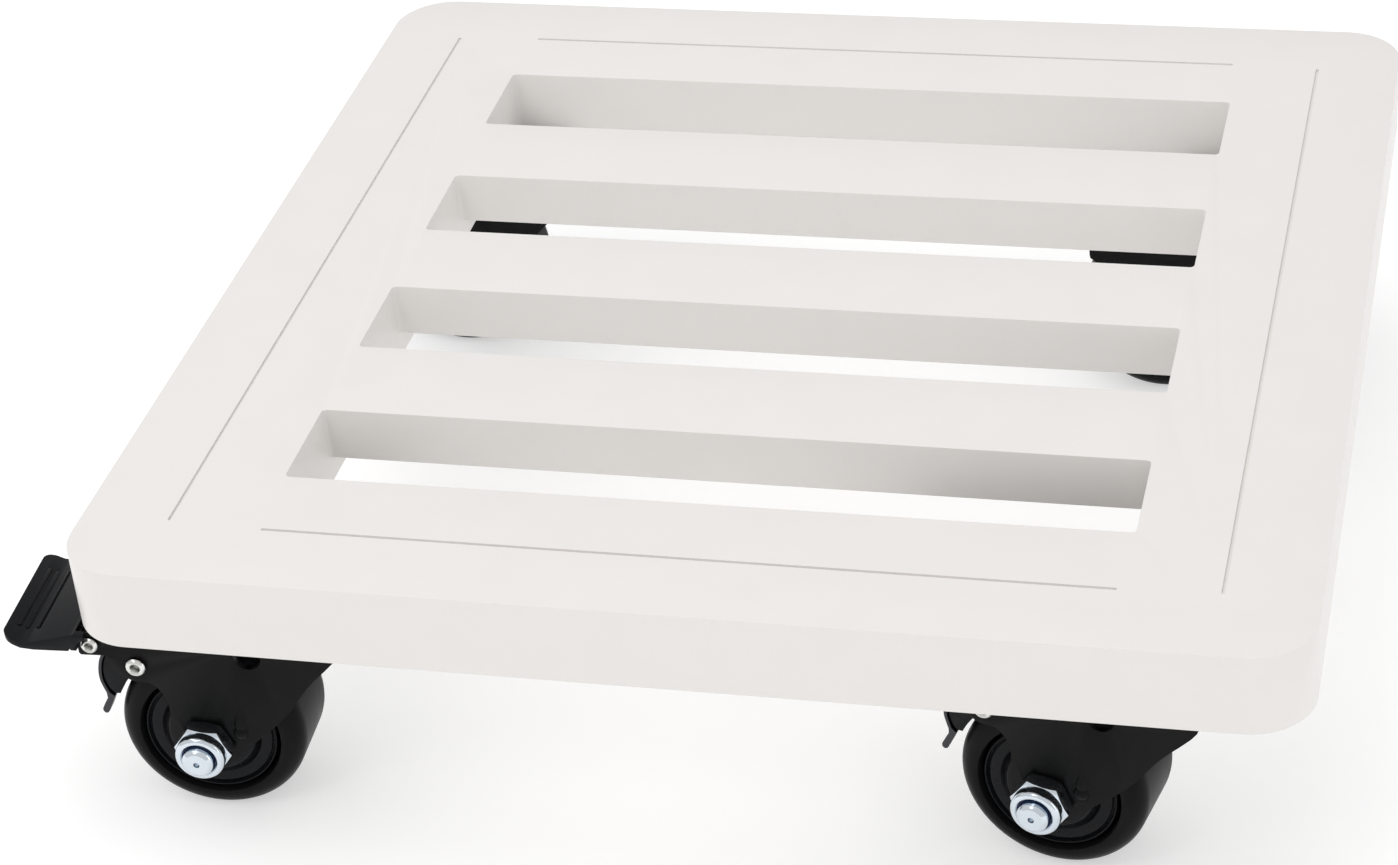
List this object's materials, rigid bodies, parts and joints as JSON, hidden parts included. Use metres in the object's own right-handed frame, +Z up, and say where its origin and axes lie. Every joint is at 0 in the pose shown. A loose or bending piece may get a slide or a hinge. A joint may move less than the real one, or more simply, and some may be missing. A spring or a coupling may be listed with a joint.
{
  "type": "plant pot caddy",
  "caption": "Square slatted plastic deck that carries a plant pot, on four swivel casters, the front two with foot brakes.",
  "frame": {"origin": "the middle of the deck's top face", "axes": "+X to the right along the slots, +Y away from the pictured front, +Z up out of the deck's top face"},
  "size_m": [0.3278, 0.3, 0.0915],
  "materials": {
    "deck_plastic": "satin warm white, fine moulded grain",
    "black_plastic": "satin black",
    "black_tread": "satin black, slightly glossy",
    "black_steel": "satin black powder coat",
    "zinc": "bright bluish zinc plate",
    "blue_nylon": "dark blue locking nylon",
    "spring_steel": "dark oiled spring steel",
    "bright_steel": "plain bright steel"
  },
  "bodies": {
    "chassis": {"deck": "deck_plastic", "front_left_mounting_plate": "black_steel", "front_left_upper_race": "black_steel", "front_left_kingpin": "zinc", "front_right_mounting_plate": "black_steel", "front_right_upper_race": "black_steel", "front_right_kingpin": "zinc", "rear_left_mounting_plate": "black_steel", "rear_left_upper_race": "black_steel", "rear_left_kingpin": "zinc", "rear_right_mounting_plate": "black_steel", "rear_right_upper_race": "black_steel", "rear_right_kingpin": "zinc"},
    "front_left_swivel_fork": {"front_left_lower_race": "black_steel", "front_left_fork": "black_steel", "front_left_axle_bolt": "zinc", "front_left_axle_sleeve": "zinc", "front_left_lock_nut": "zinc", "front_left_nylon_ring": "blue_nylon", "front_left_pedal_rivet": "bright_steel", "front_left_shoe_rivet": "bright_steel"},
    "front_left_wheel": {"front_left_tread": "black_tread", "front_left_wheel_hub": "black_plastic"},
    "front_left_pedal": {"front_left_brake_pedal": "black_plastic"},
    "front_left_shoe": {"front_left_brake_shoe": "black_plastic", "front_left_brake_spring": "spring_steel"},
    "front_right_swivel_fork": {"front_right_lower_race": "black_steel", "front_right_fork": "black_steel", "front_right_axle_bolt": "zinc", "front_right_axle_sleeve": "zinc", "front_right_lock_nut": "zinc", "front_right_nylon_ring": "blue_nylon", "front_right_pedal_rivet": "bright_steel", "front_right_shoe_rivet": "bright_steel"},
    "front_right_wheel": {"front_right_tread": "black_tread", "front_right_wheel_hub": "black_plastic"},
    "front_right_pedal": {"front_right_brake_pedal": "black_plastic"},
    "front_right_shoe": {"front_right_brake_shoe": "black_plastic", "front_right_brake_spring": "spring_steel"},
    "rear_left_swivel_fork": {"rear_left_lower_race": "black_steel", "rear_left_fork": "black_steel", "rear_left_axle_bolt": "zinc", "rear_left_axle_sleeve": "zinc", "rear_left_lock_nut": "zinc", "rear_left_nylon_ring": "blue_nylon"},
    "rear_left_wheel": {"rear_left_tread": "black_tread", "rear_left_wheel_hub": "black_plastic"},
    "rear_right_swivel_fork": {"rear_right_lower_race": "black_steel", "rear_right_fork": "black_steel", "rear_right_axle_bolt": "zinc", "rear_right_axle_sleeve": "zinc", "rear_right_lock_nut": "zinc", "rear_right_nylon_ring": "blue_nylon"},
    "rear_right_wheel": {"rear_right_tread": "black_tread", "rear_right_wheel_hub": "black_plastic"}
  },
  "joints": [
    {"name": "front_left_swivel", "type": "hinge", "parent": "chassis", "child": "front_left_swivel_fork", "pos_m": [-0.1081, -0.1112, -0.0292], "axis": [0, 0, 1], "continuous": true},
    {"name": "front_left_roll", "type": "hinge", "parent": "front_left_swivel_fork", "child": "front_left_wheel", "pos_m": [-0.12907, -0.1123, -0.0675], "axis": [0.0523, -0.9986, 0], "continuous": true},
    {"name": "front_left_pedal_press", "type": "hinge", "parent": "front_left_swivel_fork", "child": "front_left_pedal", "pos_m": [-0.15494, -0.11366, -0.0381], "axis": [0.0523, -0.9986, 0], "range_deg": [0, 24]},
    {"name": "front_left_shoe_swing", "type": "hinge", "parent": "front_left_swivel_fork", "child": "front_left_shoe", "pos_m": [-0.14395, -0.11308, -0.0444], "axis": [0.0523, -0.9986, 0], "range_deg": [0, 3]},
    {"name": "front_right_swivel", "type": "hinge", "parent": "chassis", "child": "front_right_swivel_fork", "pos_m": [0.1081, -0.1112, -0.0292], "axis": [0, 0, 1], "continuous": true},
    {"name": "front_right_roll", "type": "hinge", "parent": "front_right_swivel_fork", "child": "front_right_wheel", "pos_m": [0.08756, -0.10683, -0.0675], "axis": [-0.2079, -0.9781, 0], "continuous": true},
    {"name": "front_right_pedal_press", "type": "hinge", "parent": "front_right_swivel_fork", "child": "front_right_pedal", "pos_m": [0.06223, -0.10145, -0.0381], "axis": [-0.2079, -0.9781, 0], "range_deg": [0, 24]},
    {"name": "front_right_shoe_swing", "type": "hinge", "parent": "front_right_swivel_fork", "child": "front_right_shoe", "pos_m": [0.07298, -0.10374, -0.0444], "axis": [-0.2079, -0.9781, 0], "range_deg": [0, 3]},
    {"name": "rear_left_swivel", "type": "hinge", "parent": "chassis", "child": "rear_left_swivel_fork", "pos_m": [-0.1081, 0.1112, -0.0292], "axis": [0, 0, 1], "continuous": true},
    {"name": "rear_left_roll", "type": "hinge", "parent": "rear_left_swivel_fork", "child": "rear_left_wheel", "pos_m": [-0.12909, 0.11193, -0.0675], "axis": [-0.0349, -0.9994, 0], "continuous": true},
    {"name": "rear_right_swivel", "type": "hinge", "parent": "chassis", "child": "rear_right_swivel_fork", "pos_m": [0.1081, 0.1112, -0.0292], "axis": [0, 0, 1], "continuous": true},
    {"name": "rear_right_roll", "type": "hinge", "parent": "rear_right_swivel_fork", "child": "rear_right_wheel", "pos_m": [0.08736, 0.10791, -0.0675], "axis": [0.1564, -0.9877, 0], "continuous": true}
  ],
  "couplings": [
    {"joint": "front_left_shoe_swing", "follows": "front_left_pedal_press", "ratio": 0.125},
    {"joint": "front_right_shoe_swing", "follows": "front_right_pedal_press", "ratio": 0.125}
  ]
}
